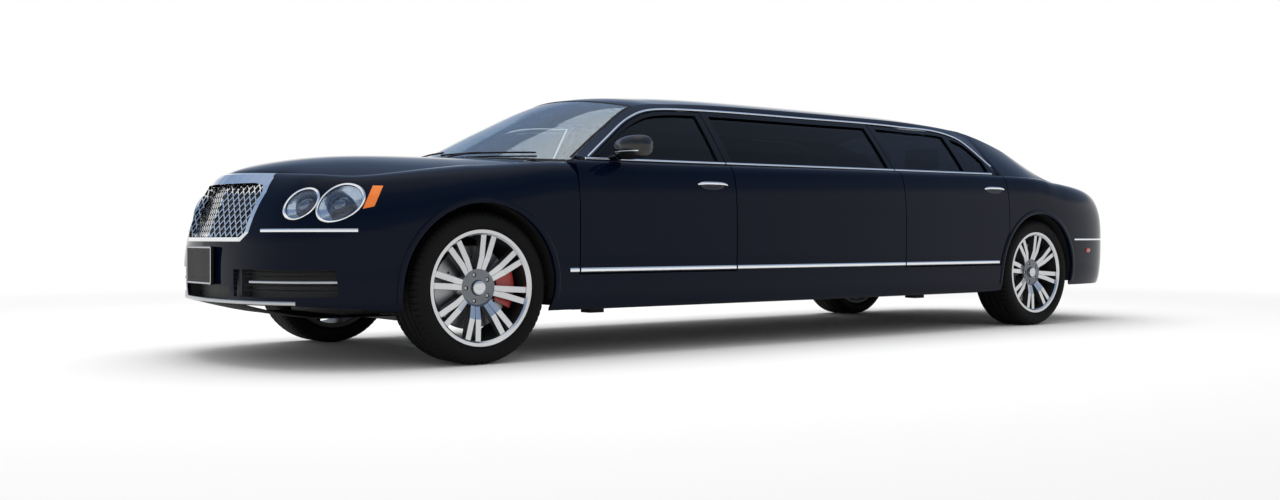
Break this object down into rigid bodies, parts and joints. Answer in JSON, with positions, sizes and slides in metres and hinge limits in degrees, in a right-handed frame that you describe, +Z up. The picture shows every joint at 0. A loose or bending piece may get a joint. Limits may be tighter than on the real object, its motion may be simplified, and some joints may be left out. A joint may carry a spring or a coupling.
{
  "type": "stretched limousine",
  "caption": "Stretched limousine saloon in dark blue-black paint with a mesh grille, round headlamps, long side windows and spoked alloy wheels.",
  "frame": {"origin": "centre of the bounding box on the ground plane", "axes": "+X forward to the nose, +Y to the car's left, +Z up"},
  "size_m": [6.6537, 2.2812, 1.4483],
  "materials": {
    "paint": "gloss deep blue-black lacquer",
    "chrome": "polished chrome",
    "glass": "tinted",
    "dark_glass": "dark tinted",
    "alloy": "machined",
    "tyre": "matt",
    "black_plastic": "satin",
    "leather": "soft sheen",
    "wood": "lacquered",
    "lens": "clear",
    "amber": "clear amber",
    "red_lens": "clear red",
    "cast_iron": "cast",
    "steel": "painted",
    "brake_red": "painted",
    "underbody": "sealed"
  },
  "bodies": {
    "car": {"underbody": "underbody", "sills": "paint", "front_bumper": "paint", "front_wings": "paint", "grille_surround": "chrome", "grille_mesh": "chrome", "headlamps": "chrome", "lamp_lenses": "lens", "side_markers": "amber", "cowl": "black_plastic", "side_frames": "paint", "roof_panel": "paint", "screens": "glass", "stretch_panels": "paint", "stretch_glass": "dark_glass", "rear_bumper": "paint", "tail_lamps": "red_lens", "dashboard": "wood", "steering_wheel": "black_plastic", "front_seats": "leather", "partition": "black_plastic", "passenger_seats": "leather", "engine_block": "cast_iron", "front_suspension": "steel", "rear_axle": "steel", "exhaust": "steel", "wheel_liners": "black_plastic", "plate_holder": "black_plastic"},
    "bonnet": {"bonnet": "paint"},
    "boot_lid": {"boot_lid": "paint"},
    "front_door_left": {"front_door_left": "paint", "front_glass_left": "glass", "mirror_left": "black_plastic"},
    "rear_door_left": {"rear_door_left": "paint", "rear_glass_left": "dark_glass"},
    "front_door_right": {"front_door_right": "paint", "front_glass_right": "glass", "mirror_right": "black_plastic"},
    "rear_door_right": {"rear_door_right": "paint", "rear_glass_right": "dark_glass"},
    "knuckle_left": {"knuckle_left": "steel", "caliper_left": "brake_red"},
    "wheel_front_left": {"tyre_front_left": "tyre", "rim_front_left": "alloy"},
    "wheel_rear_left": {"tyre_rear_left": "tyre", "rim_rear_left": "alloy"},
    "knuckle_right": {"knuckle_right": "steel", "caliper_right": "brake_red"},
    "wheel_front_right": {"tyre_front_right": "tyre", "rim_front_right": "alloy"},
    "wheel_rear_right": {"tyre_rear_right": "tyre", "rim_rear_right": "alloy"}
  },
  "joints": [
    {"name": "bonnet_hinge", "type": "hinge", "parent": "car", "child": "bonnet", "pos_m": [1.90099, 0, 0.97977], "axis": [0, -1, 0], "range_deg": [0, 55]},
    {"name": "boot_hinge", "type": "hinge", "parent": "car", "child": "boot_lid", "pos_m": [-2.68196, 0, 0.97811], "axis": [0, 1, 0], "range_deg": [0, 70]},
    {"name": "front_door_left_hinge", "type": "hinge", "parent": "car", "child": "front_door_left", "pos_m": [1.647, 0.955, 0.66], "axis": [0, 0, -1], "range_deg": [0, 65]},
    {"name": "rear_door_left_hinge", "type": "hinge", "parent": "car", "child": "rear_door_left", "pos_m": [-0.811, 0.955, 0.66], "axis": [0, 0, -1], "range_deg": [0, 65]},
    {"name": "front_door_right_hinge", "type": "hinge", "parent": "car", "child": "front_door_right", "pos_m": [1.647, -0.955, 0.66], "axis": [0, 0, 1], "range_deg": [0, 65]},
    {"name": "rear_door_right_hinge", "type": "hinge", "parent": "car", "child": "rear_door_right", "pos_m": [-0.811, -0.955, 0.66], "axis": [0, 0, 1], "range_deg": [0, 65]},
    {"name": "steer_left", "type": "hinge", "parent": "car", "child": "knuckle_left", "pos_m": [2.312, 0.749, 0.363], "axis": [0, 0, 1], "range_deg": [-35, 35]},
    {"name": "spin_front_left", "type": "hinge", "parent": "knuckle_left", "child": "wheel_front_left", "pos_m": [2.312, 0.817, 0.363], "axis": [0, 1, 0], "continuous": true},
    {"name": "spin_rear_left", "type": "hinge", "parent": "car", "child": "wheel_rear_left", "pos_m": [-2.098, 0.817, 0.363], "axis": [0, 1, 0], "continuous": true},
    {"name": "steer_right", "type": "hinge", "parent": "car", "child": "knuckle_right", "pos_m": [2.312, -0.749, 0.363], "axis": [0, 0, 1], "range_deg": [-35, 35]},
    {"name": "spin_front_right", "type": "hinge", "parent": "knuckle_right", "child": "wheel_front_right", "pos_m": [2.312, -0.817, 0.363], "axis": [0, 1, 0], "continuous": true},
    {"name": "spin_rear_right", "type": "hinge", "parent": "car", "child": "wheel_rear_right", "pos_m": [-2.098, -0.817, 0.363], "axis": [0, 1, 0], "continuous": true}
  ],
  "couplings": [
    {"joint": "steer_right", "follows": "steer_left", "ratio": 1}
  ]
}
